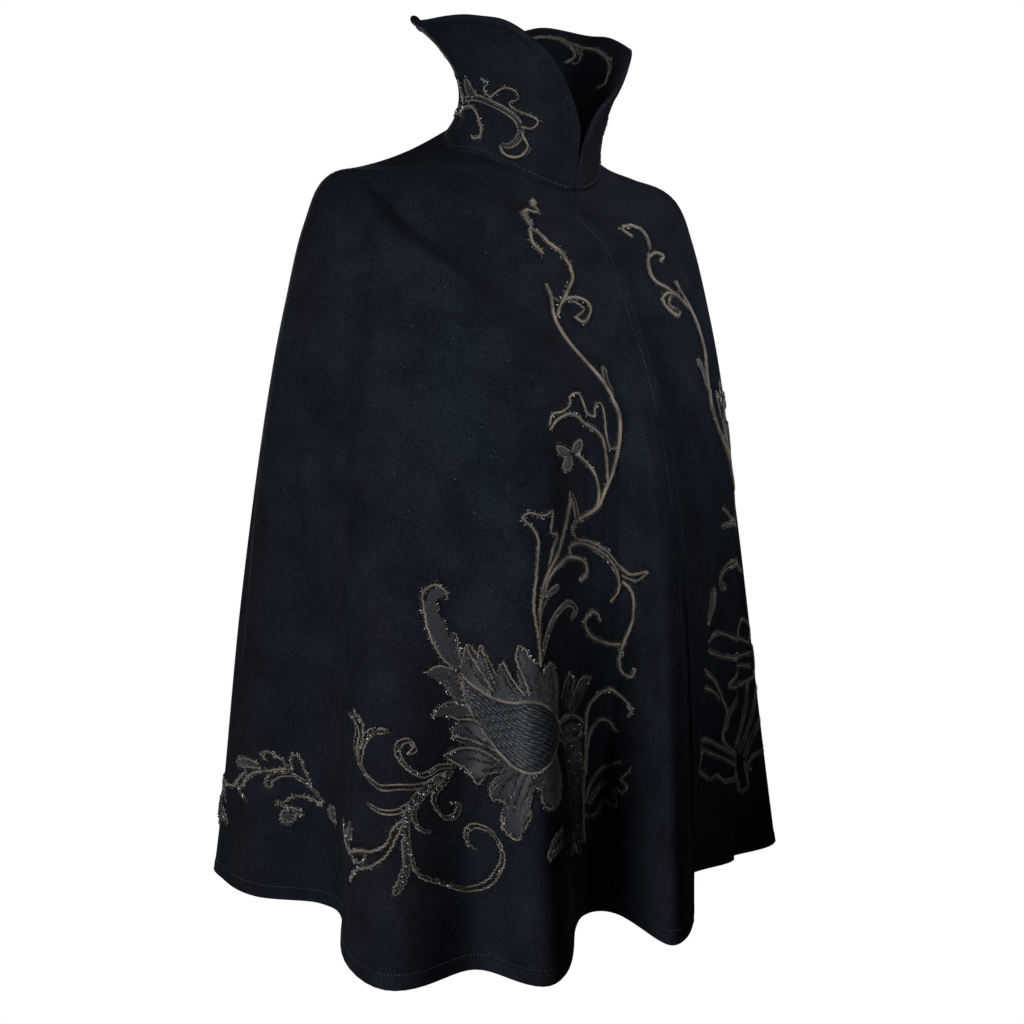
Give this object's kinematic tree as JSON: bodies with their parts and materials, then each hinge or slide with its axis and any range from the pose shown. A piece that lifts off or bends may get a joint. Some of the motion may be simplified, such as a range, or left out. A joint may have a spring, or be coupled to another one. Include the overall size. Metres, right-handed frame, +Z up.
{
  "type": "wool cloak",
  "caption": "Hip-length wool cloak with a flared stand collar, lapped right over left, with raised cord scrollwork, blooms and leaves on fronts, hem and collar.",
  "frame": {"origin": "on the neck axis at the height where the cloth rests on the wearer's shoulders", "axes": "+Z up, the front faces -Y, +X towards the wearer's left"},
  "size_m": [0.6779, 0.6447, 0.8548],
  "materials": {
    "wool": "matte felted wool",
    "cord": "velvety cord edged with small glass beads"
  },
  "bodies": {
    "root": {"front_right": "wool", "front_left": "wool", "back": "wool", "collar": "wool", "collar_facing": "wool", "collar_roll": "wool", "cordwork_right": "cord", "cordwork_left": "cord", "cordwork_back": "cord", "sprig_right": "cord", "sprig_left": "cord", "sprig_inner_right": "cord", "sprig_inner_left": "cord"}
  },
  "joints": []
}
